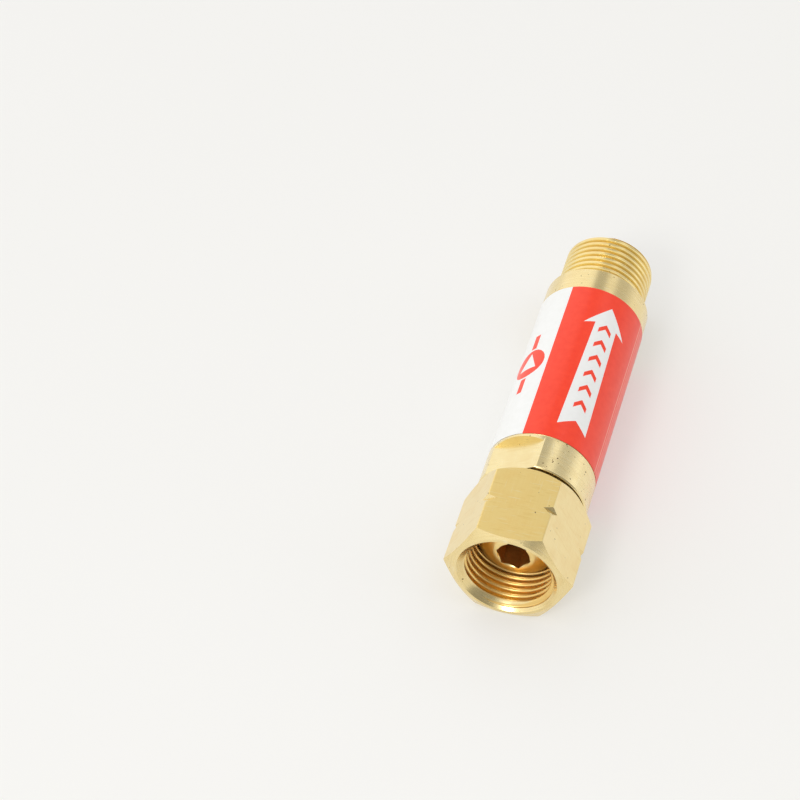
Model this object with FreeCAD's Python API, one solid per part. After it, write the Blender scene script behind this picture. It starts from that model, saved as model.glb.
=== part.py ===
# Check valve for a fuel gas regulator, G3/8 left-hand at both ends, lying on a flat of its union nut.
# Millimetres. +X is the axis in the direction of flow, +Z is up, and the origin is the centre of the
# union nut's mouth. Every place along the axis is an x, worked out from the lengths below.
import FreeCAD, Part
import math
import os

# Pipe thread G3/8 (BSPP): the outlet's male thread and the union nut's female thread
threadMajorRadius = 8.33
threadMinorRadius = 7.475
threadPitch = 1.337
threadFlat = threadPitch / 6  # width of each crest and root
grooveMouth = threadPitch - threadFlat
grooveFlank = (grooveMouth - threadFlat) / 2

# Clearances
screwPlay = 0.05  # between screwed or pushed-in pieces and their bores, where threads are left plain
slidePlay = 0.1  # round pieces that drop into a bore
neckPlay = 0.1
stemPlay = 0.05
seatGap = 0.05  # between the seat's lip and the uncompressed rubber
nutGap = 0.5
nutFloat = 1.0
spigotRoom = 0.5
filterGap = 0.7
clipGap = 0.7

# Barrel, with its bores stepping down towards the outlet
barrelRadius = 9.75
barrelLength = 43.5
barrelWall = 1.75
cageBoreStep = 0.6
filterBoreStep = 0.8
shoulderLength = 1.55
outletLength = 9.65
outletBoreRadius = 4.5
outletMouthRadius = 6.2
outletConeAngle = 30.0
outletWall = 1.3
endChamfer = 0.5
edgeBreak = 0.25
capBoreRadius = barrelRadius - barrelWall
cageBoreRadius = capBoreRadius - cageBoreStep
filterBoreRadius = cageBoreRadius - filterBoreStep

# Label film round the barrel
labelThickness = 0.1
labelSetBack = 0.2
labelEndBand = 5.0  # bare barrel between the label and the shoulder
labelGapAngle = 6.0

# Union nut. Its flats stand just proud of the label, so that the valve lies level.
nutProud = 0.05
nutLength = 16.8
nutCountersink = 0.52
nutRimWidth = 0.5
nutCountersinkLength = 0.9
nutFrontChamfer = 30.0
nutRearFaceStep = 0.3
nutRearChamfer = 45.0
nutLipLength = 3.5
nutReliefDepth = 0.27
nutReliefLength = 2.4
markAt = 8.6  # the V groove round the corners that tells a left-hand thread
markDepth = 0.85
markWidth = 1.5
nutAcrossFlats = 2 * (barrelRadius + labelThickness + nutProud)
nutMouthRadius = threadMajorRadius + nutCountersink
nutRimRadius = nutMouthRadius + nutRimWidth
nutReliefRadius = threadMajorRadius + nutReliefDepth

# Inlet nipple, with a ball nose and a hexagon socket in it
noseSetBack = 5.0
noseRadius = 3.5
ballRadius = 6.97
headClear = 0.575  # the head passes through the nut's thread
headShoulder = 1.0  # the step behind the head that draws the nut's lip
washerSeat = 0.95
socketAcrossFlats = 5.4
socketTurn = 12.0  # angle of one of its corners from +Y
socketDepth = 6.0
nippleBoreRadius = 2.3
shankLength = 9.8
headRadius = threadMinorRadius - headClear
neckRadius = headRadius - headShoulder
shankRadius = neckRadius - washerSeat

# Inlet cap: round collar with two spanner flats, and a threaded spigot
collarLength = 7.5
collarFlatDepth = 1.25
collarFlatAngle = 62.7  # from +Y to the middle of the upper flat
collarFaceStep = 0.25
collarFaceChamfer = 45.0
collarRimLength = 0.45  # left behind the flats at their middle
flatCutterRadius = 23.0  # the milling cutter's, which rounds off the end of each flat
capRecess = 0.7
capSpigotLength = 8.7
capPassageRadius = 3.5

# Seals and washers
ringSection = 0.6
seatRingSection = 0.48
grooveWidth = 1.5
washerThickness = 0.8
strainerThickness = 0.6
gasketThickness = 0.7

# Check cartridge: seat, cage, poppet, spring and guide
seatThickness = 3.0
seatLipHeight = 0.6
seatLipWidth = 0.8
cageLength = 9.5
cageWall = 0.75
poppetFlowGap = 1.0
poppetThickness = 2.65
poppetLift = 2.5
poppetRimWidth = 0.7
sealBelow = 1.25  # how far the rubber reaches inside the seat's passage
sealThickness = 1.7
sealProud = 0.2
washerClear = 0.5
sealWasherThickness = 0.6
screwRadius = 1.0
screwHeadRadius = 1.7
screwHeadLength = 1.1
screwDepth = 3.5
screwSlotWidth = 0.5
screwSlotDepth = 0.5
stemRadius = 1.5
stopBossWall = 0.7
springWireRadius = 0.25
springRoom = 0.75  # between the stop boss and the coils
springTurns = 5
guideThickness = 3.0
guideHubWall = 2.45
guideBossWall = 0.95
guideBossLength = 1.5
guideHoleRadius = 1.1
guideHoleCount = 6
clipThickness = 0.4
clipRadius = 2.6
clipGrooveDepth = 0.4
clipGapAngle = 70.0
stemTipLength = 0.8
cageOuterRadius = cageBoreRadius - screwPlay
cageInnerRadius = cageOuterRadius - cageWall
poppetRadius = cageInnerRadius - poppetFlowGap
sealOuterRadius = poppetRadius - poppetRimWidth - screwPlay
sealInnerRadius = capPassageRadius - sealBelow
sealWasherRadius = capPassageRadius - washerClear
stopBossRadius = stemRadius + stopBossWall
springRadius = stopBossRadius + springRoom + springWireRadius
guideBoreRadius = stemRadius + stemPlay
guideHubRadius = guideBoreRadius + guideHubWall
guideBossRadius = guideBoreRadius + guideBossWall
clipGrooveRadius = stemRadius - clipGrooveDepth

# Flame filter: a sintered thimble held against the barrel's floor
filterFlangeWidth = 1.6
filterWall = 1.3
filterFlangeThickness = 1.5
filterRingThickness = 1.6
filterRingWall = 1.35
filterFlangeRadius = filterBoreRadius - slidePlay
filterRadius = filterFlangeRadius - filterFlangeWidth
filterRingOuterRadius = filterBoreRadius - screwPlay
filterRingInnerRadius = filterRingOuterRadius - filterRingWall

# Places along the axis
nutLipFront = nutLength - nutLipLength
headRear = nutLipFront - nutFloat
collarFront = nutLength + nutGap
neckRear = collarFront + capRecess
capRecessFloor = neckRear + washerThickness
shankRear = capRecessFloor + shankLength
strainerRear = shankRear + strainerThickness
bodyFront = collarFront + collarLength
capRear = bodyFront + capSpigotLength
seatRear = capRear + seatThickness
guideFront = seatRear + cageLength
guideRear = guideFront + guideThickness
barrelRear = bodyFront + barrelLength
filterFloor = barrelRear - outletWall
outletFront = barrelRear + shoulderLength
bodyRear = outletFront + outletLength
sealFront = seatRear + seatLipHeight + seatGap
poppetFront = sealFront + sealProud
poppetRear = poppetFront + poppetThickness
stopRear = guideFront - poppetLift - slidePlay
clipFront = guideRear + guideBossLength + clipGap
stemRear = clipFront + clipThickness + stemTipLength
filterFront = stemRear + poppetLift + filterGap
filterRear = filterFloor - gasketThickness


def place(x, r):
    return FreeCAD.Vector(x, 0, r)


# Turns a closed outline of (x, radius) corners about the axis. A corner of four numbers is reached by
# an arc through its first two.
def turned(outline, angle=360.0):
    edges = []
    here = outline[0]
    for corner in outline[1:] + outline[:1]:
        start = place(*here[-2:])
        end = place(*corner[-2:])
        if len(corner) == 4:
            edges.append(Part.Arc(start, place(*corner[:2]), end).toShape())
        else:
            edges.append(Part.LineSegment(start, end).toShape())
        here = corner
    face = Part.Face(Part.Wire(edges))
    return face.revolve(place(0, 0), FreeCAD.Vector(1, 0, 0), angle)


def tube(innerRadius, outerRadius, front, rear):
    return turned([(front, innerRadius), (front, outerRadius), (rear, outerRadius), (rear, innerRadius)])


def rod(radius, front, rear):
    return Part.makeCylinder(radius, rear - front, place(front, 0), FreeCAD.Vector(1, 0, 0))


# A hexagonal bar along the axis. firstCorner is the angle of one corner, in degrees from +Y.
def hexBar(acrossFlats, front, rear, firstCorner):
    cornerRadius = acrossFlats / 2 / math.cos(math.pi / 6)
    corners = []
    for k in range(7):
        angle = math.radians(firstCorner + 60 * k)
        corners.append(FreeCAD.Vector(front, cornerRadius * math.cos(angle), cornerRadius * math.sin(angle)))
    return Part.Face(Part.makePolygon(corners)).extrude(FreeCAD.Vector(rear - front, 0, 0))


def ring(centre, radius, section):
    return Part.makeTorus(radius, section, place(centre, 0), FreeCAD.Vector(1, 0, 0))


# The corners of a row of thread grooves, in the order of x. They are closed rings, one pitch apart,
# with the thread's real depth and flanks.
def threadGrooves(front, count, crestRadius, rootRadius):
    corners = []
    for k in range(count):
        start = front + k * threadPitch
        corners.append((start, crestRadius))
        corners.append((start + grooveFlank, rootRadius))
        corners.append((start + grooveFlank + threadFlat, rootRadius))
        corners.append((start + grooveMouth, crestRadius))
    return corners


# How many grooves fit in a length of wall
def grooveCount(length):
    return int((length - grooveMouth) / threadPitch) + 1


def rise(radialHeight, degrees):
    return radialHeight / math.tan(math.radians(degrees))


def makeUnionNut():
    cornerRadius = nutAcrossFlats / 2 / math.cos(math.pi / 6)
    rearFaceRadius = nutAcrossFlats / 2 - nutRearFaceStep
    outside = turned([
        (0, 0),
        (0, nutRimRadius),
        (rise(cornerRadius - nutRimRadius, 90 - nutFrontChamfer), cornerRadius),
        (nutLength - rise(cornerRadius - rearFaceRadius, nutRearChamfer), cornerRadius),
        (nutLength, rearFaceRadius),
        (nutLength, 0),
    ])
    threadFront = nutCountersinkLength + threadFlat
    reliefFront = nutLipFront - nutReliefLength
    count = grooveCount(reliefFront - threadFront)
    inside = turned(
        [(0, 0), (0, nutMouthRadius), (nutCountersinkLength, threadMinorRadius)]
        + threadGrooves(threadFront, count, threadMinorRadius, threadMajorRadius)
        + [
            (reliefFront, threadMinorRadius),
            (reliefFront, nutReliefRadius),
            (nutLipFront, nutReliefRadius),
            (nutLipFront, neckRadius + neckPlay),
            (nutLength, neckRadius + neckPlay),
            (nutLength, 0),
        ]
    )
    mark = turned([
        (markAt - markWidth / 2, cornerRadius),
        (markAt, cornerRadius - markDepth),
        (markAt + markWidth / 2, cornerRadius),
    ])
    return hexBar(nutAcrossFlats, 0, nutLength, 0).common(outside).cut(inside).cut(mark)


def makeInletNipple():
    ballCentre = noseSetBack + math.sqrt(ballRadius**2 - noseRadius**2)
    headFront = ballCentre - math.sqrt(ballRadius**2 - headRadius**2)
    middleX = (noseSetBack + headFront) / 2
    middleRadius = math.sqrt(ballRadius**2 - (ballCentre - middleX) ** 2)
    blank = turned([
        (noseSetBack, nippleBoreRadius),
        (noseSetBack, noseRadius),
        (middleX, middleRadius, headFront, headRadius),
        (headRear, headRadius),
        (headRear, neckRadius),
        (neckRear, neckRadius),
        (neckRear, shankRadius),
        (shankRear, shankRadius),
        (shankRear, nippleBoreRadius),
    ])
    return blank.cut(hexBar(socketAcrossFlats, noseSetBack - 1, noseSetBack + socketDepth, socketTurn))


def makeInletCap():
    collarRadius = barrelRadius + labelThickness
    faceRun = rise(collarFaceStep, collarFaceChamfer)
    spigotRadius = capBoreRadius - screwPlay
    grooveFront = bodyFront + edgeBreak + screwPlay
    cap = turned([
        (collarFront, neckRadius + neckPlay),
        (collarFront, collarRadius - collarFaceStep),
        (collarFront + faceRun, collarRadius),
        (bodyFront, collarRadius),
        (bodyFront, spigotRadius),
        (grooveFront, spigotRadius),
        (grooveFront, spigotRadius - 2 * ringSection),
        (grooveFront + grooveWidth, spigotRadius - 2 * ringSection),
        (grooveFront + grooveWidth, spigotRadius),
        (capRear, spigotRadius),
        (capRear, capPassageRadius),
        (strainerRear, capPassageRadius),
        (strainerRear, shankRadius + screwPlay),
        (capRecessFloor, shankRadius + screwPlay),
        (capRecessFloor, neckRadius + neckPlay),
    ])
    flatDistance = barrelRadius - collarFlatDepth
    for flatAngle in (collarFlatAngle, collarFlatAngle + 180):
        side = math.radians(flatAngle)
        outward = FreeCAD.Vector(0, math.cos(side), math.sin(side))
        centre = place(bodyFront - collarRimLength - flatCutterRadius, 0) + outward * flatDistance
        cap = cap.cut(Part.makeCylinder(flatCutterRadius, barrelRadius, centre, outward))
    return cap


def makeCapRing():
    centre = bodyFront + edgeBreak + screwPlay + grooveWidth / 2
    return ring(centre, capBoreRadius - screwPlay - ringSection, ringSection)


def makeValveBody():
    coneLength = rise(outletMouthRadius - outletBoreRadius, outletConeAngle)
    # the end chamfer takes most of the crest behind the last groove
    lastRoot = bodyRear - endChamfer
    lastGroove = lastRoot - grooveFlank - threadFlat
    count = grooveCount(lastGroove + grooveMouth - outletFront)
    firstGroove = lastGroove - (count - 1) * threadPitch
    grooves = threadGrooves(firstGroove, count, threadMajorRadius, threadMinorRadius)
    grooves.pop()
    threadHeight = threadMajorRadius - threadMinorRadius
    lastCrest = lastRoot + threadHeight / (threadHeight / grooveFlank + 1)
    return turned(
        [
            (bodyFront, capBoreRadius),
            (bodyFront, barrelRadius - edgeBreak),
            (bodyFront + edgeBreak, barrelRadius),
            (barrelRear, barrelRadius),
            (outletFront, threadMajorRadius),
        ]
        + grooves
        + [
            (lastCrest, threadMajorRadius - lastCrest + lastRoot),
            (bodyRear, threadMajorRadius - endChamfer),
            (bodyRear, outletMouthRadius),
            (bodyRear - coneLength, outletBoreRadius),
            (filterFloor, outletBoreRadius),
            (filterFloor, filterBoreRadius),
            (guideRear, filterBoreRadius),
            (guideRear, cageBoreRadius),
            (capRear + spigotRoom, cageBoreRadius),
            (capRear + spigotRoom, capBoreRadius),
        ]
    )


def makeFlowLabel():
    front = bodyFront + labelSetBack
    rear = barrelRear - labelEndBand
    outline = [
        (front, barrelRadius),
        (front, barrelRadius + labelThickness),
        (rear, barrelRadius + labelThickness),
        (rear, barrelRadius),
    ]
    film = turned(outline, 360 - labelGapAngle)
    film.rotate(place(0, 0), FreeCAD.Vector(1, 0, 0), 180 + labelGapAngle / 2)
    return film


def makeValveSeat():
    ringFloor = cageOuterRadius - 2 * seatRingSection
    grooveFront = capRear + (seatThickness - grooveWidth) / 2
    grooveRear = grooveFront + grooveWidth
    return turned([
        (capRear, capPassageRadius),
        (capRear, cageOuterRadius),
        (grooveFront, cageOuterRadius),
        (grooveFront, ringFloor),
        (grooveRear, ringFloor),
        (grooveRear, cageOuterRadius),
        (seatRear, cageOuterRadius),
        (seatRear, capPassageRadius + seatLipWidth),
        (seatRear + seatLipHeight, capPassageRadius + seatLipWidth),
        (seatRear + seatLipHeight, capPassageRadius),
    ])


def makeSeatRing():
    return ring(capRear + seatThickness / 2, cageOuterRadius - seatRingSection, seatRingSection)


def makeStemGuide():
    guide = turned([
        (guideFront, guideBoreRadius),
        (guideFront, cageOuterRadius),
        (guideRear, cageOuterRadius),
        (guideRear, guideBossRadius),
        (guideRear + guideBossLength, guideBossRadius),
        (guideRear + guideBossLength, guideBoreRadius),
    ])
    holeRing = (guideHubRadius + filterBoreRadius) / 2
    for k in range(guideHoleCount):
        angle = 2 * math.pi * k / guideHoleCount
        centre = FreeCAD.Vector(guideFront, holeRing * math.cos(angle), holeRing * math.sin(angle))
        guide = guide.cut(Part.makeCylinder(guideHoleRadius, guideThickness, centre, FreeCAD.Vector(1, 0, 0)))
    return guide


def makePoppet():
    sealFloor = sealFront + sealThickness
    screwEnd = sealFront + screwDepth
    grooveRear = clipFront + clipThickness
    return turned([
        (sealFront, screwRadius),
        (sealFront, sealInnerRadius - screwPlay),
        (sealFloor, sealInnerRadius - screwPlay),
        (sealFloor, sealOuterRadius + screwPlay),
        (poppetFront, sealOuterRadius + screwPlay),
        (poppetFront, poppetRadius),
        (poppetRear, poppetRadius),
        (poppetRear, stopBossRadius),
        (stopRear, stopBossRadius),
        (stopRear, stemRadius),
        (clipFront, stemRadius),
        (clipFront, clipGrooveRadius),
        (grooveRear, clipGrooveRadius),
        (grooveRear, stemRadius),
        (stemRear, stemRadius),
        (stemRear, 0),
        (screwEnd, 0),
        (screwEnd, screwRadius),
    ])


def makePoppetSeal():
    return tube(sealInnerRadius, sealOuterRadius, sealFront, sealFront + sealThickness)


def makeSealWasher():
    return tube(screwRadius + screwPlay, sealWasherRadius, sealFront - sealWasherThickness, sealFront)


def makeSealScrew():
    headRearX = sealFront - sealWasherThickness
    headFrontX = headRearX - screwHeadLength
    screw = rod(screwHeadRadius, headFrontX, headRearX).fuse(
        rod(screwRadius, headRearX, sealFront + screwDepth - screwPlay)
    )
    slot = Part.makeBox(
        screwSlotDepth,
        2 * screwHeadRadius,
        screwSlotWidth,
        FreeCAD.Vector(headFrontX, -screwHeadRadius, -screwSlotWidth / 2),
    )
    return screw.removeSplitter().cut(slot)


def makeReturnSpring():
    front = poppetRear + springWireRadius + seatGap
    rear = guideFront - springWireRadius - seatGap
    helix = Part.makeHelix((rear - front) / springTurns, rear - front, springRadius)
    start = FreeCAD.Vector(springRadius, 0, 0)
    section = Part.Wire(Part.makeCircle(springWireRadius, start, helix.Edges[0].tangentAt(0)))
    spring = Part.Wire(helix).makePipeShell([section], True, True)
    spring.rotate(place(0, 0), FreeCAD.Vector(0, 1, 0), 90)
    spring.translate(place(front, 0))
    return spring


def makeStemClip():
    outline = [
        (clipFront, clipGrooveRadius),
        (clipFront, clipRadius),
        (clipFront + clipThickness, clipRadius),
        (clipFront + clipThickness, clipGrooveRadius),
    ]
    return turned(outline, 360 - clipGapAngle)


def makeFlameFilter():
    innerRadius = filterRadius - filterWall
    return turned([
        (filterFront, 0),
        (filterFront, filterRadius),
        (filterRear - filterFlangeThickness, filterRadius),
        (filterRear - filterFlangeThickness, filterFlangeRadius),
        (filterRear, filterFlangeRadius),
        (filterRear, innerRadius),
        (filterFront + filterWall, innerRadius),
        (filterFront + filterWall, 0),
    ])


def makeFilterRing():
    rear = filterRear - filterFlangeThickness
    return tube(filterRingInnerRadius, filterRingOuterRadius, rear - filterRingThickness, rear)


pieces = {
    "valve_body": makeValveBody(),
    "flow_label": makeFlowLabel(),
    "inlet_cap": makeInletCap(),
    "cap_o_ring": makeCapRing(),
    "union_nut": makeUnionNut(),
    "inlet_nipple": makeInletNipple(),
    "nipple_washer": tube(shankRadius + screwPlay, neckRadius, neckRear, capRecessFloor),
    "inlet_strainer": rod(shankRadius, shankRear, strainerRear),
    "valve_seat": makeValveSeat(),
    "seat_o_ring": makeSeatRing(),
    "cage_sleeve": tube(cageInnerRadius, cageOuterRadius, seatRear, guideFront),
    "poppet": makePoppet(),
    "poppet_seal": makePoppetSeal(),
    "seal_washer": makeSealWasher(),
    "seal_screw": makeSealScrew(),
    "return_spring": makeReturnSpring(),
    "stem_guide": makeStemGuide(),
    "stem_clip": makeStemClip(),
    "flame_filter": makeFlameFilter(),
    "filter_ring": makeFilterRing(),
    "filter_gasket": tube(filterRingInnerRadius, filterFlangeRadius, filterRear, filterFloor),
}

os.makedirs("parts", exist_ok=True)
for name, shape in pieces.items():
    solid = shape.Solids[0]
    print(f"{name:16s} solids {len(shape.Solids)} valid {solid.isValid()} volume {solid.Volume:.1f}")
    shape.exportStep(f"parts/{name}.step")
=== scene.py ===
import bpy
import math
from mathutils import Matrix, Vector


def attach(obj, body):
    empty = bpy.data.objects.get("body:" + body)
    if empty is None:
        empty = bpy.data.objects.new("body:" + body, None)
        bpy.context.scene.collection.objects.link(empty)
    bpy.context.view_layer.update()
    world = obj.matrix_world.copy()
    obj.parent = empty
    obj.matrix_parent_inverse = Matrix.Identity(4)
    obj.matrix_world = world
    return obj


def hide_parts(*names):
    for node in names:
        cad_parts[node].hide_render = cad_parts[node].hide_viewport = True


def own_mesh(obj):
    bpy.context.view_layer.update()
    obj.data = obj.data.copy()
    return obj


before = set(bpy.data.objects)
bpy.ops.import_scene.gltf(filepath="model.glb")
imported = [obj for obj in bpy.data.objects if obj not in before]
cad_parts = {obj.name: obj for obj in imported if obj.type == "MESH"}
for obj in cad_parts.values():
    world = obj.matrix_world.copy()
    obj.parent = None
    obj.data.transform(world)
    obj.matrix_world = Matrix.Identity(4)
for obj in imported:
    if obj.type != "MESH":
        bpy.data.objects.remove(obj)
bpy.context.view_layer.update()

mm = 0.001  # the sizes of the valve are in millimetres
smooth = {"interpolation_type": "SMOOTHSTEP"}
rgba = {"data_type": "RGBA"}
print("frame loaded, with", len(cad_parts), "CAD nodes")


def linear(hexColour):
    channels = [int(hexColour[k:k + 2], 16) / 255 for k in (1, 3, 5)]
    return [c / 12.92 if c <= 0.04045 else ((c + 0.055) / 1.055) ** 2.4 for c in channels] + [1.0]


# The scale of a pattern whose cells have these sizes in millimetres along X, Y and Z
def perMetre(*cells):
    return [1 / (cell * mm) for cell in cells]


# Adds a shader node. A socket is named, or numbered where several share a name. It takes a value, another
# node's output, or a node, which stands for its first output.
def addNode(tree, kind, settings=None, sockets=None):
    node = tree.nodes.new("ShaderNode" + kind)
    for name, value in (settings or {}).items():
        setattr(node, name, value)
    for name, value in (sockets or {}).items():
        if isinstance(value, bpy.types.Node):
            value = value.outputs[0]
        if isinstance(value, bpy.types.NodeSocket):
            tree.links.new(value, node.inputs[name])
        elif isinstance(value, str):
            node.inputs[name].default_value = linear(value)
        else:
            node.inputs[name].default_value = value
    return node


def newMaterial(name):
    material = bpy.data.materials.new(name)
    material.use_nodes = True
    tree = material.node_tree
    tree.nodes.clear()
    return material, tree, addNode(tree, "TexCoord").outputs["Object"]


# What all the brass has in common. A pattern's cells are sizes in millimetres, its levels are of the noise.
brassWear = {
    "grainCells": {
        "drawn": (11.11, 0.2941, 0.2941),
        "turned": (0.2632, 0.2632, 1000),
        "milled": (0.303, 1000, 1000),
    },
    "cloudCell": 4.167, "tarnishLevels": (0.42, 0.72), "tarnishRoughness": 0.3,
    "rubCells": (0.4762, 3.03, 3.03), "rubLevels": (0.54, 0.72), "rubDepth": 0.008,
    "scratchLean": (0.6, 0.1), "scratchLevels": (0.68, 0.76), "scratchDepth": 0.006,
    "scratches": [
        (0.3, (0.1923, 5.263, 5.263)),
        (-0.5, (0.2326, 3.846, 3.846)),
        (0.1, (3.846, 0.2, 0.2)),
    ],
    "nickCell": 0.6667, "nickSpread": 0.03, "nickDepth": 0.02, "nickColour": "#6A4F26",
    "scratchColour": "#FBF0CC", "lacquer": 0.5, "lacquerRoughness": 0.3,
}


# Brass, CZ121 bar stock. The grain of its finish is drawn (long faint streaks along the bar), turned
# (fine rings round the axis) or milled (arcs swept by the end of a large cutter).
def makeBrass(name, look):
    look = {**brassWear, **look}
    material, tree, place = newMaterial(name)
    axes = addNode(tree, "SeparateXYZ", sockets={0: place})
    flat = addNode(tree, "CombineXYZ", sockets={1: axes.outputs["Y"], 2: axes.outputs["Z"]})
    radius = addNode(tree, "VectorMath", {"operation": "LENGTH"}, {0: flat}).outputs["Value"]
    grainPlace = place
    if look["grain"] == "turned":
        grainPlace = addNode(tree, "CombineXYZ", sockets={0: axes.outputs["X"], 1: radius})
    elif look["grain"] == "milled":
        turn = math.radians(look["sweepAngle"])
        across = addNode(
            tree, "VectorMath", {"operation": "DOT_PRODUCT"},
            {0: place, 1: (0, -math.sin(turn), math.cos(turn))},
        ).outputs["Value"]
        along = addNode(
            tree, "Math", {"operation": "SUBTRACT"}, {0: axes.outputs["X"], 1: look["sweepX"] * mm}
        )
        sweep = addNode(tree, "CombineXYZ", sockets={0: along, 1: across})
        reach = addNode(tree, "VectorMath", {"operation": "LENGTH"}, {0: sweep}).outputs["Value"]
        grainPlace = addNode(tree, "CombineXYZ", sockets={0: reach})
    # stretched noise: the grain, rub marks that run round the piece, and hairline scratches from handling
    patterns = [
        (grainPlace, look["grainCells"][look["grain"]], (0, 0, 0), 3.0),
        (place, look["rubCells"], (0, 0, 0), 3.0),
        *((place, cells, (*look["scratchLean"], turn), 1.0) for turn, cells in look["scratches"]),
    ]
    noises = []
    for start, cells, rotation, detail in patterns:
        stretch = addNode(
            tree, "Mapping", sockets={"Vector": start, "Rotation": rotation, "Scale": perMetre(*cells)}
        )
        noises.append(addNode(
            tree, "TexNoise", sockets={"Vector": stretch, "Scale": 1.0, "Detail": detail}
        ))
    grain, rubs, *hairs = noises
    # a slow cloud for the thin, uneven tarnish, and specks for tiny nicks and pits, far apart
    cloud = addNode(
        tree, "TexNoise",
        sockets={"Vector": place, "Scale": perMetre(look["cloudCell"])[0], "Detail": 4.0, "Roughness": 0.62},
    )
    speck = addNode(
        tree, "TexNoise", sockets={"Vector": place, "Scale": perMetre(look["nickCell"])[0], "Detail": 1.0}
    )
    marks = []
    for noise, levels, amount in (
        (cloud, look["tarnishLevels"], look["tarnishAmount"]),
        (rubs, look["rubLevels"], look["rubAmount"]),
        (speck, (look["nickLevel"], look["nickLevel"] + look["nickSpread"]), 1.0),
        *((hair, look["scratchLevels"], look["scratchAmount"]) for hair in hairs),
    ):
        marks.append(addNode(
            tree, "MapRange", smooth,
            {"Value": noise, "From Min": levels[0], "From Max": levels[1], "To Max": amount},
        ))
    tarnish, rub, nick, scratch, *others = marks
    for other in others:
        scratch = addNode(tree, "Math", {"operation": "MAXIMUM"}, {0: scratch, 1: other})
    grainShade = addNode(
        tree, "MapRange", {}, {"Value": grain, "From Min": 0.3, "From Max": 0.7, "To Max": look["grainShade"]}
    )
    layers = [
        (grainShade, look["grainColour"], "MIX"),
        (tarnish, look["tarnish"], "MIX"),
        (rub, look["grainColour"], "MIX"),
    ]
    if "topFlatPaintedShade" in look:
        # painted shade: the flat that faces up (+Z) is multiplied by a warm tint, so it reads deeper and more
        # orange than the other flats
        side = addNode(tree, "VectorMath", {"operation": "NORMALIZE"}, {0: flat})
        facing = addNode(
            tree, "VectorMath", {"operation": "DOT_PRODUCT"}, {0: side, 1: (0, 0, 1)}
        ).outputs["Value"]
        topShadeShare = addNode(
            tree, "MapRange", smooth,
            {"Value": facing, "From Min": look["topShadeFrom"], "From Max": look["topShadeTo"]},
        )
        layers.append((topShadeShare, look["topFlatPaintedShade"], "MULTIPLY"))
    if "rootRadius" in look:
        # darker in the thread roots: partly cutting oil and grime, partly painted shade for the shadow down
        # in the roots
        depth = addNode(
            tree, "MapRange", smooth,
            {"Value": radius, "From Min": look["rootRadius"] * mm, "From Max": look["crestRadius"] * mm,
             "To Min": look["rootGrimeAndShade"], "To Max": 0.0},
        )
        layers.append((depth, look["rootGrimeAndShadeColour"], "MIX"))
    layers += [(scratch, look["scratchColour"], "MIX"), (nick, look["nickColour"], "MIX")]
    colour = look["colour"]
    for share, tint, blend in layers:
        colour = addNode(
            tree, "Mix", {**rgba, "blend_type": blend}, {"Factor": share, 6: colour, 7: tint}
        ).outputs[2]
    smoothest = look["roughness"] - look["roughnessSpread"]
    roughest = look["roughness"] + look["roughnessSpread"]
    gloss = addNode(
        tree, "MapRange", {},
        {"Value": grain, "From Min": 0.25, "From Max": 0.75, "To Min": smoothest, "To Max": roughest},
    )
    gloss = addNode(
        tree, "Math", {"operation": "MULTIPLY_ADD"}, {0: tarnish, 1: look["tarnishRoughness"], 2: gloss}
    )
    # grain height, the slow waviness of the bar, and the marks cut into it
    height = addNode(tree, "Math", {"operation": "MULTIPLY"}, {0: grain, 1: look["grainHeight"]})
    for mark, rise in (
        (cloud, look["waviness"]),
        (scratch, -look["scratchDepth"]),
        (rub, -look["rubDepth"]),
        (nick, -look["nickDepth"]),
    ):
        height = addNode(tree, "Math", {"operation": "MULTIPLY_ADD"}, {0: mark, 1: rise, 2: height})
    bump = addNode(tree, "Bump", {}, {"Height": height, "Distance": mm})
    shader = addNode(
        tree, "BsdfPrincipled", {},
        {"Base Color": colour, "Metallic": 1.0, "Roughness": gloss, "Normal": bump,
         "Coat Weight": look["lacquer"], "Coat Roughness": look["lacquerRoughness"]},
    )
    addNode(tree, "OutputMaterial", {}, {"Surface": shader})
    return material


# Drawn hexagon bar: pale satin flats with faint lengthwise streaks and a few scratches and nicks
drawnBrass = makeBrass("drawnBrass", {
    "grain": "drawn", "colour": "#F7E2A8", "grainColour": "#EED594", "grainShade": 0.22,
    # the tint multiplied into the upward flat is painted shade
    "topFlatPaintedShade": "#FFF6D6", "topShadeFrom": 0.86, "topShadeTo": 0.872,
    "tarnish": "#EACB88", "tarnishAmount": 0.3, "nickLevel": 0.755, "scratchAmount": 0.35,
    "rubAmount": 0.7, "roughness": 0.36, "roughnessSpread": 0.04, "grainHeight": 0.0012, "waviness": 0.006,
})
# Turned faces: tight rings that stretch highlights round the piece
turnedBrass = makeBrass("turnedBrass", {
    "grain": "turned", "colour": "#F5E0A4", "grainColour": "#E6C988", "grainShade": 0.4,
    "tarnish": "#E0C27E", "tarnishAmount": 0.25, "nickLevel": 0.76, "scratchAmount": 0.4,
    "rubAmount": 0.35, "roughness": 0.23, "roughnessSpread": 0.05, "grainHeight": 0.0022, "waviness": 0.004,
})
# The collar's round side, nicked by the jaws of a spanner
collarBrass = makeBrass("collarBrass", {
    "grain": "turned", "colour": "#F9E6AE", "grainColour": "#EDD294", "grainShade": 0.4,
    "tarnish": "#DDBF7A", "tarnishAmount": 0.3, "nickLevel": 0.71, "scratchAmount": 0.5,
    "rubAmount": 0.45, "roughness": 0.24, "roughnessSpread": 0.06, "grainHeight": 0.003, "waviness": 0.006,
})
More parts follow.
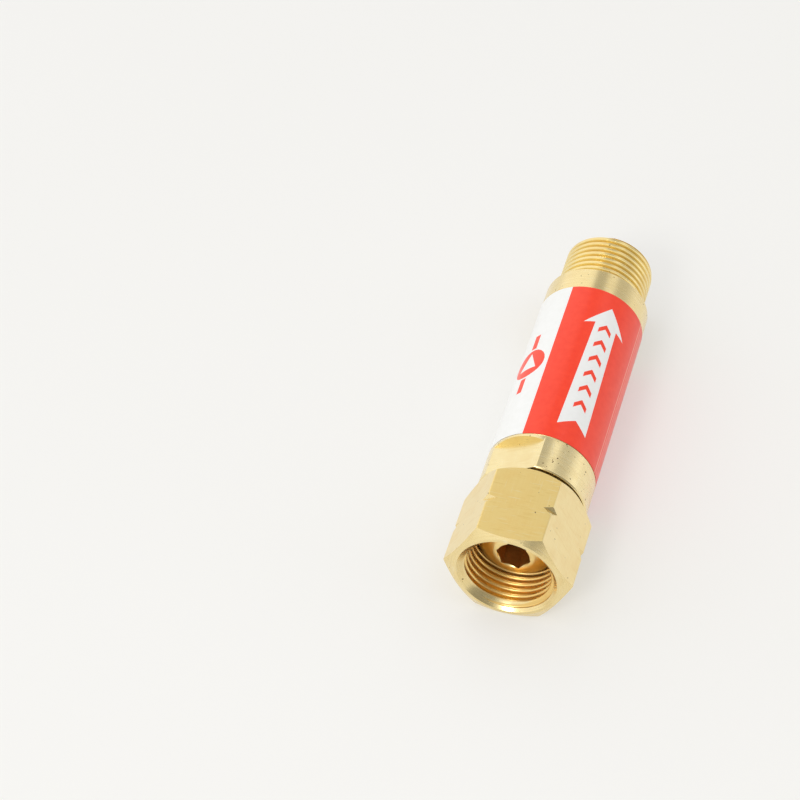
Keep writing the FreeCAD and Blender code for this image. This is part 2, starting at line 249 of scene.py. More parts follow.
# Thread cut with a die: bright flat crests, amber roots darkened partly by grime and partly by painted shade
outletThreadBrass = makeBrass("outletThreadBrass", {
    "grain": "turned", "colour": "#F8E29E", "grainColour": "#EED186", "grainShade": 0.35,
    "tarnish": "#E0BA6C", "tarnishAmount": 0.25, "nickLevel": 0.78, "scratchAmount": 0.3,
    "scratchColour": "#F8E8B8", "rubAmount": 0.3, "roughness": 0.28, "roughnessSpread": 0.05,
    "grainHeight": 0.002, "waviness": 0.003, "lacquer": 0.3,
    "rootRadius": 7.45, "crestRadius": 8.1, "rootGrimeAndShade": 0.22, "rootGrimeAndShadeColour": "#CA9A44",
})
# Thread tapped inside the nut: smoother, and a deeper amber than the outer brass all through, painted shade
# for the inside of the nut; its roots darker still, from grime and painted shade
nutThreadBrass = makeBrass("nutThreadBrass", {
    "grain": "turned", "colour": "#FAD88C", "grainColour": "#ECC26E", "grainShade": 0.35,
    "tarnish": "#D2A04A", "tarnishAmount": 0.22, "nickLevel": 0.9, "scratchAmount": 0.2,
    "scratchColour": "#F8E8B8", "rubAmount": 0.2, "roughness": 0.28, "roughnessSpread": 0.04,
    "grainHeight": 0.002, "waviness": 0.003, "lacquer": 0.0,
    "rootRadius": 8.35, "crestRadius": 7.6, "rootGrimeAndShade": 0.12, "rootGrimeAndShadeColour": "#B0762A",
})
# Ball nose: turned and burnished, so it seals
polishedBrass = makeBrass("polishedBrass", {
    "grain": "turned", "colour": "#FCE3A0", "grainColour": "#F4D282", "grainShade": 0.3,
    "tarnish": "#E2B860", "tarnishAmount": 0.2, "nickLevel": 0.9, "scratchAmount": 0.2,
    "scratchColour": "#F8E8B8", "rubAmount": 0.1, "roughness": 0.3, "roughnessSpread": 0.03,
    "grainHeight": 0.001, "waviness": 0.003, "lacquer": 0.0,
})
# Drilled and broached holes: dull and darker brown, partly from the cutting oil and partly as painted shade
# for the inside of the holes
boreOilAndShadeBrass = makeBrass("boreOilAndShadeBrass", {
    "grain": "turned", "colour": "#EDB864", "grainColour": "#D69C48", "grainShade": 0.5,
    "tarnish": "#B87A30", "tarnishAmount": 0.5, "nickLevel": 0.9, "scratchAmount": 0.2,
    "scratchColour": "#D8B070", "rubAmount": 0.2, "roughness": 0.45, "roughnessSpread": 0.06,
    "grainHeight": 0.004, "waviness": 0.006, "lacquer": 0.0,
})
print("brass finishes made")


joinDistance = 0.002 * mm  # points closer than this are one
bevelAngle = 24.0  # edges sharper than this, in degrees, are broken
smoothAngle = 32.0  # and edges softer than this are shaded smooth


def deselectAll():
    if bpy.context.object and bpy.context.object.mode != "OBJECT":
        bpy.ops.object.mode_set(mode="OBJECT")
    bpy.ops.object.select_all(action="DESELECT")


def makeActive(piece):
    deselectAll()
    piece.select_set(True)
    bpy.context.view_layer.objects.active = piece


def applyPlace(piece):
    makeActive(piece)
    bpy.ops.object.transform_apply(location=True, rotation=True, scale=True)


def applyModifier(piece, kind, **settings):
    makeActive(piece)
    modifier = piece.modifiers.new(kind.lower(), kind)
    for name, value in settings.items():
        setattr(modifier, name, value)
    bpy.ops.object.modifier_apply(modifier=modifier.name)


# In edit mode: makes one point of all those that meet
def joinPoints():
    bpy.ops.mesh.select_all(action="SELECT")
    bpy.ops.mesh.remove_doubles(threshold=joinDistance)


# In edit mode: turns every face outwards and goes back to object mode
def closeMesh():
    bpy.ops.mesh.select_all(action="SELECT")
    bpy.ops.mesh.normals_make_consistent(inside=False)
    bpy.ops.object.mode_set(mode="OBJECT")


# Opens a piece in edit mode with the vertices, edges or faces selected that pass the test
def pick(piece, level, test):
    makeActive(piece)
    mesh = piece.data
    for part in (*mesh.vertices, *mesh.edges, *mesh.polygons):
        part.select = False
    if level == "VERT":
        for vertex in mesh.vertices:
            vertex.select = test(vertex.co)
    elif level == "EDGE":
        for edge in mesh.edges:
            edge.select = test(*(mesh.vertices[k].co for k in edge.vertices))
    else:
        for face in mesh.polygons:
            face.select = test(face.center)
    bpy.context.tool_settings.mesh_select_mode = (level == "VERT", level == "EDGE", level == "FACE")
    bpy.ops.object.mode_set(mode="EDIT")


# Draws an outline of (x, radius) corners from one vertex, ready to be turned about the axis
def drawOutline(name, outline):
    deselectAll()
    bpy.context.tool_settings.mesh_select_mode = (True, False, False)
    bpy.ops.mesh.primitive_plane_add(size=mm)
    piece = bpy.context.object
    piece.name = name
    bpy.ops.object.mode_set(mode="EDIT")
    bpy.ops.mesh.merge(type="CENTER")
    x, radius = outline[0]
    bpy.ops.transform.translate(value=(x * mm, 0, radius * mm))
    for nextX, nextRadius in outline[1:]:
        step = ((nextX - x) * mm, 0, (nextRadius - radius) * mm)
        bpy.ops.mesh.extrude_vertices_move(TRANSFORM_OT_translate={"value": step})
        x, radius = nextX, nextRadius
    return piece


# Turns an outline like work on a lathe. An outline that starts on the axis ends on it too; any other
# one is closed into a ring. Its edges are then broken by a small bevel.
def turnPiece(name, outline, material, edgeBreak=0.1, steps=144):
    closed = outline if outline[0][1] == 0 else outline + outline[:1]
    piece = drawOutline(name, closed)
    bpy.ops.mesh.select_all(action="SELECT")
    bpy.ops.mesh.spin(steps=steps, angle=math.tau, center=(0, 0, 0), axis=(1, 0, 0))
    joinPoints()
    closeMesh()
    piece.data.materials.append(material)
    if edgeBreak:
        applyModifier(
            piece, "BEVEL", width=edgeBreak * mm, segments=2, limit_method="ANGLE",
            angle_limit=math.radians(bevelAngle),
        )
    return piece


# A hexagon bar with rounded corners; turned is the angle of one corner from +Y, in degrees
def hexBar(name, acrossFlats, front, rear, turned, cornerRound, material):
    deselectAll()
    bpy.ops.mesh.primitive_cylinder_add(
        vertices=6, radius=acrossFlats / 2 / math.cos(math.pi / 6) * mm, depth=(rear - front) * mm,
        location=((front + rear) / 2 * mm, 0, 0), rotation=(0, math.pi / 2, 0),
    )
    piece = bpy.context.object
    piece.name = name
    applyPlace(piece)
    piece.rotation_euler.x = math.radians(turned)
    applyPlace(piece)
    if cornerRound:
        pick(piece, "EDGE", lambda a, b: abs(a.x - b.x) > mm)
        bpy.ops.mesh.bevel(offset=cornerRound * mm, segments=3)
        bpy.ops.object.mode_set(mode="OBJECT")
    piece.data.materials.append(material)
    return piece


def carve(piece, tool, operation="DIFFERENCE"):
    applyModifier(
        piece, "BOOLEAN", operation=operation, object=tool, solver="EXACT", material_mode="TRANSFER"
    )
    bpy.data.objects.remove(tool)


# A left-hand Whitworth thread as a solid plug: one pitch of its rounded profile, wound along the axis
# and closed at both ends. The ends are helical, so the plug reaches a pitch past what it cuts or fills.
thread = {"pitch": 1.337, "crest": 8.33, "root": 7.475, "profileSteps": 16, "stepsPerTurn": 120}


# sharp squares the profile off; bias widens its crests and narrows its roots
def threadPlug(name, front, turns, material, sharp=0.7, bias=0.0):
    middle = (thread["crest"] + thread["root"]) / 2
    half = (thread["crest"] - thread["root"]) / 2
    lowest, highest = math.tanh(sharp * (bias - 1)), math.tanh(sharp * (bias + 1))
    profile = []
    for k in range(thread["profileSteps"] + 1):
        part = k / thread["profileSteps"]
        level = math.tanh(sharp * (bias + math.sin(math.tau * part)))
        wave = 2 * (level - lowest) / (highest - lowest) - 1
        profile.append((front + part * thread["pitch"], middle + half * wave))
    piece = drawOutline(name, profile)
    bpy.ops.object.mode_set(mode="OBJECT")
    applyModifier(
        piece, "SCREW", axis="X", angle=-math.tau, screw_offset=thread["pitch"] * mm, iterations=turns,
        steps=thread["stepsPerTurn"], render_steps=thread["stepsPerTurn"], use_smooth_shade=False,
    )
    makeActive(piece)
    bpy.ops.object.mode_set(mode="EDIT")
    joinPoints()
    bpy.ops.mesh.select_all(action="DESELECT")
    bpy.ops.mesh.select_non_manifold(extend=False)
    bpy.ops.mesh.extrude_region_move(TRANSFORM_OT_translate={"value": (0, 0, 0)})
    bpy.ops.transform.resize(value=(1, 0, 0), center_override=(0, 0, 0))
    middleX = (front + turns * thread["pitch"] / 2) * mm
    for before in (True, False):
        bpy.ops.object.mode_set(mode="OBJECT")
        pick(piece, "VERT", lambda co: math.hypot(co.y, co.z) < 0.1 * mm and (co.x < middleX) == before)
        bpy.ops.mesh.merge(type="CENTER")
    joinPoints()
    closeMesh()
    piece.data.materials.append(material)
    return piece


# Shades a finished piece, with its large faces kept flat, and joins it to the CAD frame
def finishPiece(piece, body, node):
    makeActive(piece)
    bpy.ops.object.shade_smooth_by_angle(angle=math.radians(smoothAngle))
    applyModifier(piece, "WEIGHTED_NORMAL", keep_sharp=True)
    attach(piece, body)
    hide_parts(node)
    print("made", piece.name, len(piece.data.polygons), "faces")


# The union nut. Places of all pieces are along X, from the nut's mouth.
unionNut = {
    "acrossFlats": 19.8, "length": 16.8, "cornerRound": 0.22,
    "rimRadius": 9.35, "frontChamfer": 30.0, "rearFaceRadius": 9.6,
    "markAt": 8.6, "markDepth": 0.72, "markFront": 1.45, "markRear": 0.5,
    "mouthRadius": 8.85, "countersink": 0.9, "leadIn": 0.35,
    "boreRadius": 7.46, "reliefFront": 10.9, "reliefRadius": 8.6,
    "lipFront": 13.3, "lipRadius": 6.0, "threadRear": 12.9, "threadTurns": 11,
    "crestSharp": 1.1, "crestBias": 0.2, "overrun": 2.0,
}


def makeUnionNut(size):
    corner = size["acrossFlats"] / 2 / math.cos(math.pi / 6)
    chamferRear = (corner - size["rimRadius"]) * math.tan(math.radians(size["frontChamfer"]))
    nut = hexBar("unionNut", size["acrossFlats"], 0, size["length"], 0, size["cornerRound"], drawnBrass)
    carve(nut, turnPiece("nutEnvelope", [
        (0, 0),
        (0, size["rimRadius"]),
        (chamferRear, corner),
        (size["length"] - corner + size["rearFaceRadius"], corner),
        (size["length"], size["rearFaceRadius"]),
        (size["length"], 0),
    ], turnedBrass), "INTERSECT")
    # the V cut round the corners that tells a left-hand thread
    carve(nut, turnPiece("nutMark", [
        (size["markAt"], corner - size["markDepth"]),
        (size["markAt"] - 2 * size["markFront"], corner + size["markDepth"]),
        (size["markAt"] + 2 * size["markRear"], corner + size["markDepth"]),
    ], turnedBrass, edgeBreak=0))
    carve(nut, turnPiece("nutBore", [
        (-size["overrun"], 0),
        (-size["overrun"], size["boreRadius"]),
        (size["reliefFront"], size["boreRadius"]),
        (size["reliefFront"], size["reliefRadius"]),
        (size["lipFront"], size["reliefRadius"]),
        (size["lipFront"], size["lipRadius"]),
        (size["length"] + size["overrun"], size["lipRadius"]),
        (size["length"] + size["overrun"], 0),
    ], nutThreadBrass, edgeBreak=0.08))
    # the lead-in meets the thread's crests half way down, and runs on so that it crosses them cleanly
    leadRadius = size["mouthRadius"] - size["countersink"]
    leadRear = size["countersink"] + 2 * size["leadIn"]
    carve(nut, turnPiece("nutCountersink", [
        (-size["overrun"], 0),
        (-size["overrun"], size["mouthRadius"]),
        (0, size["mouthRadius"]),
        (size["countersink"], leadRadius),
        (leadRear, 2 * thread["root"] - leadRadius),
        (leadRear, 0),
    ], turnedBrass, edgeBreak=0))
    threadFront = size["threadRear"] - size["threadTurns"] * thread["pitch"]
    carve(nut, threadPlug(
        "nutThread", threadFront, size["threadTurns"], nutThreadBrass, size["crestSharp"], size["crestBias"]
    ))
    finishPiece(nut, "nut", "union_nut")


makeUnionNut(unionNut)


# The valve body: a barrel with stepped bores, and the outlet's male thread
valveBody = {
    "front": 24.8, "barrelRadius": 9.75, "barrelRear": 68.3, "edgeBreak": 0.25,
    "shankFront": 69.85, "shankRadius": 8.33, "coreRadius": 7.42, "rear": 79.5,
    "mouthRadius": 6.2, "mouthCone": 2.944, "boreRadius": 4.5, "floor": 67.0,
    "filterBore": 6.6, "filterFront": 49.0, "cageBore": 7.4, "cageFront": 34.0, "capBore": 8.0,
    "threadFront": 67.6, "threadTurns": 10, "endChamfer": 0.4,
    "crestSharp": 2.2, "crestBias": 0.62, "rootRun": 0.35, "sleeveRadius": 7.0, "sleeveReach": 0.6,
    "sleeveClear": 0.001,
}


def makeValveBody(size):
    body = turnPiece("valveBody", [
        (size["front"], size["capBore"]),
        (size["front"], size["barrelRadius"] - size["edgeBreak"]),
        (size["front"] + size["edgeBreak"], size["barrelRadius"]),
        (size["barrelRear"], size["barrelRadius"]),
        (size["shankFront"], size["shankRadius"]),
        (size["shankFront"] + size["rootRun"], size["coreRadius"]),
        (size["rear"], size["coreRadius"]),
        (size["rear"], size["mouthRadius"]),
        (size["rear"] - size["mouthCone"], size["boreRadius"]),
        (size["floor"], size["boreRadius"]),
        (size["floor"], size["filterBore"]),
        (size["filterFront"], size["filterBore"]),
        (size["filterFront"], size["cageBore"]),
        (size["cageFront"], size["cageBore"]),
        (size["cageFront"], size["capBore"]),
    ], turnedBrass)
    # the thread is trimmed by a sleeve: it starts inside the shoulder and ends in a 45 degree chamfer
    male = threadPlug(
        "outletThread", size["threadFront"], size["threadTurns"], outletThreadBrass, size["crestSharp"],
        size["crestBias"],
    )
    carve(male, turnPiece("threadSleeve", [
        (size["shankFront"] - size["sleeveReach"], size["sleeveRadius"]),
        (size["shankFront"] - size["sleeveReach"], size["shankRadius"] + size["sleeveClear"]),
        (size["rear"] - size["endChamfer"], size["shankRadius"] + size["sleeveClear"]),
        (size["rear"], size["shankRadius"] - size["endChamfer"]),
        (size["rear"], size["sleeveRadius"]),
    ], outletThreadBrass, edgeBreak=0), "INTERSECT")
    carve(body, male, "UNION")
    finishPiece(body, "valve", "valve_body")


makeValveBody(valveBody)


# The inlet cap: a round collar with two spanner flats, and a spigot that goes into the barrel
inletCap = {
    "front": 17.3, "collarRadius": 9.85, "faceStep": 0.25, "rear": 24.8,
    "flatDistance": 8.5, "flatAngle": 62.7, "cutterRadius": 23.0, "cutterX": 1.35, "cutterDepth": 4.0,
    "spigotRadius": 7.95, "spigotRear": 33.5, "grooveFront": 25.1, "grooveRear": 26.6, "grooveRadius": 6.75,
    "recessRadius": 6.0, "recessFloor": 18.8, "shankRadius": 5.0, "strainerRear": 29.2, "passageRadius": 3.5,
    "overrun": 1.0,
}

# Milled spanner flats: smooth and bright, with faint arcs from the cutter
milledBrass = makeBrass("milledBrass", {
    "grain": "milled", "sweepX": inletCap["cutterX"], "sweepAngle": inletCap["flatAngle"],
    "colour": "#F5E3AC", "grainColour": "#EAD094", "grainShade": 0.3,
    "tarnish": "#E4C684", "tarnishAmount": 0.25, "nickLevel": 0.77, "scratchAmount": 0.4,
    "rubAmount": 0.35, "roughness": 0.28, "roughnessSpread": 0.04, "grainHeight": 0.0016, "waviness": 0.004,
})


def makeInletCap(size):
    cap = turnPiece("inletCap", [
        (size["front"], 0),
        (size["front"], size["collarRadius"] - size["faceStep"]),
        (size["front"] + size["faceStep"], size["collarRadius"]),
        (size["rear"], size["collarRadius"]),
        (size["rear"], size["spigotRadius"]),
        (size["grooveFront"], size["spigotRadius"]),
        (size["grooveFront"], size["grooveRadius"]),
        (size["grooveRear"], size["grooveRadius"]),
        (size["grooveRear"], size["spigotRadius"]),
        (size["spigotRear"], size["spigotRadius"]),
        (size["spigotRear"], 0),
    ], collarBrass, edgeBreak=0.06, steps=192)
    # each flat is milled by the end of a large cutter, which leaves a round wall at the rear
    for angle in (size["flatAngle"], size["flatAngle"] + 180):
        middle = size["flatDistance"] + size["cutterDepth"] / 2
        deselectAll()
        bpy.ops.mesh.primitive_cylinder_add(
            vertices=360, radius=size["cutterRadius"] * mm, depth=size["cutterDepth"] * mm,
            location=(size["cutterX"] * mm, middle * math.cos(math.radians(angle)) * mm,
                      middle * math.sin(math.radians(angle)) * mm),
            rotation=(math.radians(angle - 90), 0, 0),
        )
        cutter = bpy.context.object
        applyPlace(cutter)
        cutter.data.materials.append(milledBrass)
        carve(cap, cutter)
    carve(cap, turnPiece("capBore", [
        (size["front"] - size["overrun"], 0),
        (size["front"] - size["overrun"], size["recessRadius"]),
        (size["recessFloor"], size["recessRadius"]),
        (size["recessFloor"], size["shankRadius"]),
        (size["strainerRear"], size["shankRadius"]),
        (size["strainerRear"], size["passageRadius"]),
        (size["spigotRear"] + size["overrun"], size["passageRadius"]),
        (size["spigotRear"] + size["overrun"], 0),
    ], boreOilAndShadeBrass, edgeBreak=0.05))
    finishPiece(cap, "valve", "inlet_cap")


makeInletCap(inletCap)


# The inlet nipple: a ball nose with a hexagon socket
inletNipple = {
    "front": 5.0, "noseRadius": 3.5, "ballRadius": 9.5, "ballEnd": 6.6, "headRun": 0.82, "headRadius": 6.9,
    "headRear": 12.3, "neckRadius": 5.9, "neckRear": 18.0, "shankRadius": 4.95, "shankRear": 28.6,
    "boreRadius": 2.3, "socketAcrossFlats": 5.4, "socketTurn": 12.0, "socketFloor": 11.0,
    "socketChamfer": 0.2, "ballSteps": 12, "overrun": 1.0,
}


def makeInletNipple(size):
    centre = size["front"] + math.sqrt(size["ballRadius"] ** 2 - size["noseRadius"] ** 2)
    startAngle = math.asin(size["noseRadius"] / size["ballRadius"])
    endAngle = math.asin(size["ballEnd"] / size["ballRadius"])
    outline = [(size["front"], 0)]
    for k in range(size["ballSteps"] + 1):
        angle = startAngle + (endAngle - startAngle) * k / size["ballSteps"]
        outline.append((centre - size["ballRadius"] * math.cos(angle), size["ballRadius"] * math.sin(angle)))
    outline += [
        (outline[-1][0] + size["headRun"], size["headRadius"]),
        (size["headRear"], size["headRadius"]),
        (size["headRear"], size["neckRadius"]),
        (size["neckRear"], size["neckRadius"]),
        (size["neckRear"], size["shankRadius"]),
        (size["shankRear"], size["shankRadius"]),
        (size["shankRear"], 0),
    ]
    nipple = turnPiece("inletNipple", outline, polishedBrass)
    carve(nipple, turnPiece("nippleBore", [
        (0, 0),
        (0, size["boreRadius"]),
        (size["shankRear"] + size["overrun"], size["boreRadius"]),
        (size["shankRear"] + size["overrun"], 0),
    ], boreOilAndShadeBrass, edgeBreak=0, steps=96))
    carve(nipple, hexBar(
        "nippleSocket", size["socketAcrossFlats"], 0, size["socketFloor"], size["socketTurn"], 0, boreOilAndShadeBrass
    ))
    chamferRadius = size["socketAcrossFlats"] / 2 + size["socketChamfer"]
    carve(nipple, turnPiece("socketChamfer", [
        (size["front"] - size["overrun"], 0),
        (size["front"] - size["overrun"], chamferRadius + size["overrun"]),
        (size["front"] + chamferRadius, 0),
    ], polishedBrass, edgeBreak=0))
    finishPiece(nipple, "valve", "inlet_nipple")


makeInletNipple(inletNipple)


# The return spring: closed end coils with open turns between them
returnSpring = {
    "front": 40.25, "coilRadius": 3.2, "wireRadius": 0.25, "endPitch": 0.5, "openPitch": 1.5, "openTurns": 3,
    "stepsPerTurn": 48, "wireSides": 12, "smoothAngle": 50.0, "solidShare": 0.576, "dieLineCell": 0.4,
}


# Spring steel wire, hard drawn: bluish grey with fine die lines
def makeSpringSteel(size):
    material, tree, place = newMaterial("springSteel")
    scale = perMetre(size["dieLineCell"])[0]
    lines = addNode(tree, "TexNoise", {}, {"Vector": place, "Scale": scale, "Detail": 3.0})
    colour = addNode(tree, "Mix", rgba, {"Factor": lines, 6: "#B4B8BD", 7: "#8C9198"}).outputs[2]
    rough = addNode(tree, "MapRange", {}, {"Value": lines, "To Min": 0.22, "To Max": 0.4})
    shader = addNode(
        tree, "BsdfPrincipled", {}, {"Base Color": colour, "Metallic": 1.0, "Roughness": rough}
    )
    addNode(tree, "OutputMaterial", {}, {"Surface": shader})
    return material


springSteel = makeSpringSteel(returnSpring)


def makeReturnSpring(size):
    stretches = [(size["endPitch"], 1), (size["openPitch"], size["openTurns"]), (size["endPitch"], 1)]
    x = size["front"]
    coils = []
    for pitch, turns in stretches:
        deselectAll()
        bpy.ops.mesh.primitive_circle_add(
            vertices=size["wireSides"], radius=size["wireRadius"] * mm,
            location=(x * mm, 0, size["coilRadius"] * mm), rotation=(math.pi / 2, 0, 0),
        )
        coil = bpy.context.object
        applyPlace(coil)
        applyModifier(
            coil, "SCREW", axis="X", angle=math.tau, screw_offset=pitch * mm, iterations=turns,
            steps=size["stepsPerTurn"], render_steps=size["stepsPerTurn"],
        )
        coils.append(coil)
        x += pitch * turns
    spring = coils[0]
    spring.name = "returnSpring"
    makeActive(spring)
    for coil in coils[1:]:
        coil.select_set(True)
    bpy.ops.object.join()
    bpy.ops.object.mode_set(mode="EDIT")
    joinPoints()
    bpy.ops.mesh.select_all(action="DESELECT")
    bpy.ops.mesh.select_non_manifold(extend=False)
    bpy.ops.mesh.edge_face_add()
    closeMesh()
    spring.data.materials.append(springSteel)
    makeActive(spring)
    bpy.ops.object.shade_smooth_by_angle(angle=math.radians(size["smoothAngle"]))
    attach(spring, "valve")
    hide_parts("return_spring")
    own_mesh(spring)
    print("made", spring.name, len(spring.data.polygons), "faces")


makeReturnSpring(returnSpring)


# The flow label, a printed film wrapped round the barrel. Places round it are in degrees: 0 is the side
# towards -Y, 90 the top. The film is cut out flat, its print lines are cut into it, and it is bent round.
flowLabel = {
    "front": 25.0, "rear": 63.3, "radius": 9.85, "thickness": 0.1, "start": -87.0, "end": 267.0,
    "panelStart": -68.0, "panelEnd": 112.0, "rows": 12, "columns": 118,
    "arrow": [
        (59.8, 63.0), (54.3, 87.8), (55.1, 75.8), (28.6, 80.6),
        (30.7, 62.8), (28.6, 46.8), (55.1, 50.4), (54.3, 38.0),
    ],
    "chevronCentre": 63.0, "chevronHalf": 7.4, "chevronReach": 1.35, "chevronWidth": 1.15,
    "chevrons": [33.4, 37.3, 41.2, 45.1, 49.0, 52.9],
    "discX": 44.0, "discAngle": 137.0, "discRadius": 3.5, "discSides": 24,
    "triangle": [(42.6, 125.5), (42.6, 148.5), (46.7, 137.0)],
    "bars": [(36.4, 40.1), (47.9, 51.6)], "barHalf": 3.6,
    "cutMargin": 0.6, "cutSlack": 0.01, "smoothAngle": 30.0,
}
# Its finish, in the same degrees. A crease is a place and how strong it is: how pale its painted highlight is
# and how high its ridge; its line fades over creaseEdge and wanders by creaseWander.
filmFinish = {
    "rippleCells": (16.67, 2.381, 2.381), "inkCell": 1.111, "bumpDepth": 0.007,
    "creasesAndHighlights": [(16.3, 0.8), (11.8, 0.45)], "creaseEdge": (0.17, 0.03), "creaseWander": 0.3,
    "creaseHeight": 2.5,
}


# Printed PVC film under a clear gloss laminate: even ink, with a soft ripple where it was smoothed down
def makeFilm(name, colour, deep, creaseHighlightColour, finish):
    material, tree, place = newMaterial(name)
    stretch = addNode(
        tree, "Mapping", sockets={"Vector": place, "Scale": perMetre(*finish["rippleCells"])}
    )
    ripple = addNode(tree, "TexNoise", {}, {"Vector": stretch, "Scale": 1.0, "Detail": 2.0})
    inkScale = perMetre(finish["inkCell"])[0]
    ink = addNode(tree, "TexNoise", {}, {"Vector": place, "Scale": inkScale, "Detail": 4.0})
    shade = addNode(tree, "MapRange", {}, {"Value": ink, "From Min": 0.3, "From Max": 0.75})
    paint = addNode(tree, "Mix", rgba, {"Factor": shade, 6: colour, 7: deep}).outputs[2]
    rough = addNode(tree, "MapRange", {}, {"Value": ink, "To Min": 0.26, "To Max": 0.36})
    # long creases, 0.2 mm wide, where the laminate lifted as it was wrapped: their ridge is a bump, and their
    # pale colour is a painted highlight
    height = ripple
    fadeFrom, fadeTo = finish["creaseEdge"]
    wander = finish["creaseWander"] * mm
    for angle, level in finish["creasesAndHighlights"]:
        sine, cosine = math.sin(math.radians(angle)), math.cos(math.radians(angle))
        across, outward = (
            addNode(tree, "VectorMath", {"operation": "DOT_PRODUCT"}, {0: place, 1: way}).outputs["Value"]
            for way in ((0, sine, cosine), (0, -cosine, sine))
        )
        across = addNode(tree, "Math", {"operation": "MULTIPLY_ADD"}, {0: ripple, 1: wander, 2: across})
        across = addNode(tree, "Math", {"operation": "SUBTRACT"}, {0: across, 1: wander / 2})
        across = addNode(tree, "Math", {"operation": "ABSOLUTE"}, {0: across})
        line = addNode(
            tree, "MapRange", smooth,
            {"Value": across, "From Min": fadeFrom * mm, "From Max": fadeTo * mm, "To Max": level},
        )
        here = addNode(tree, "Math", {"operation": "GREATER_THAN"}, {0: outward, 1: mm})
        line = addNode(tree, "Math", {"operation": "MULTIPLY"}, {0: line, 1: here})
        paint = addNode(tree, "Mix", rgba, {"Factor": line, 6: paint, 7: creaseHighlightColour}).outputs[2]
        height = addNode(
            tree, "Math", {"operation": "MULTIPLY_ADD"}, {0: line, 1: finish["creaseHeight"], 2: height}
        )
    bump = addNode(
        tree, "Bump", {}, {"Height": height, "Distance": finish["bumpDepth"] * mm}
    )
    shader = addNode(
        tree, "BsdfPrincipled", {},
        {"Base Color": paint, "Roughness": rough, "IOR": 1.4, "Normal": bump, "Coat Weight": 0.2,
         "Coat Roughness": 0.16, "Coat IOR": 1.4},
    )
    addNode(tree, "OutputMaterial", {}, {"Surface": shader})
    return material


# each film's third colour is the pale painted highlight along its creases
redFilm = makeFilm("redFilm", "#FB4527", "#F53C20", "#FFB4A0", filmFinish)
whiteFilm = makeFilm("whiteFilm", "#F1F1EF", "#EDEDEA", "#FAFAF8", filmFinish)


def arcLength(degrees):
    return math.radians(degrees) * flowLabel["radius"]


def insidePolygon(x, z, corners):
    inside = False
    for k, (cornerX, cornerZ) in enumerate(corners):
        lastX, lastZ = corners[k - 1]
        if (cornerZ > z) != (lastZ > z):
            if x < (lastX - cornerX) * (z - cornerZ) / (lastZ - cornerZ) + cornerX:
                inside = not inside
    return inside


# Cuts the flat film along the line through two points, only inside a box of (front, rear, low, high)
def cutFilm(film, start, end, box):
    front, rear, low, high = box
    pick(film, "FACE", lambda c: front < c.x / mm < rear and low < c.z / mm < high)
    direction = Vector((end[0] - start[0], 0, end[1] - start[1])).normalized()
    bpy.ops.mesh.bisect(
        plane_co=(start[0] * mm, 0, start[1] * mm), plane_no=(-direction.z, 0, direction.x),
        threshold=joinDistance / 4,
    )
    bpy.ops.object.mode_set(mode="OBJECT")


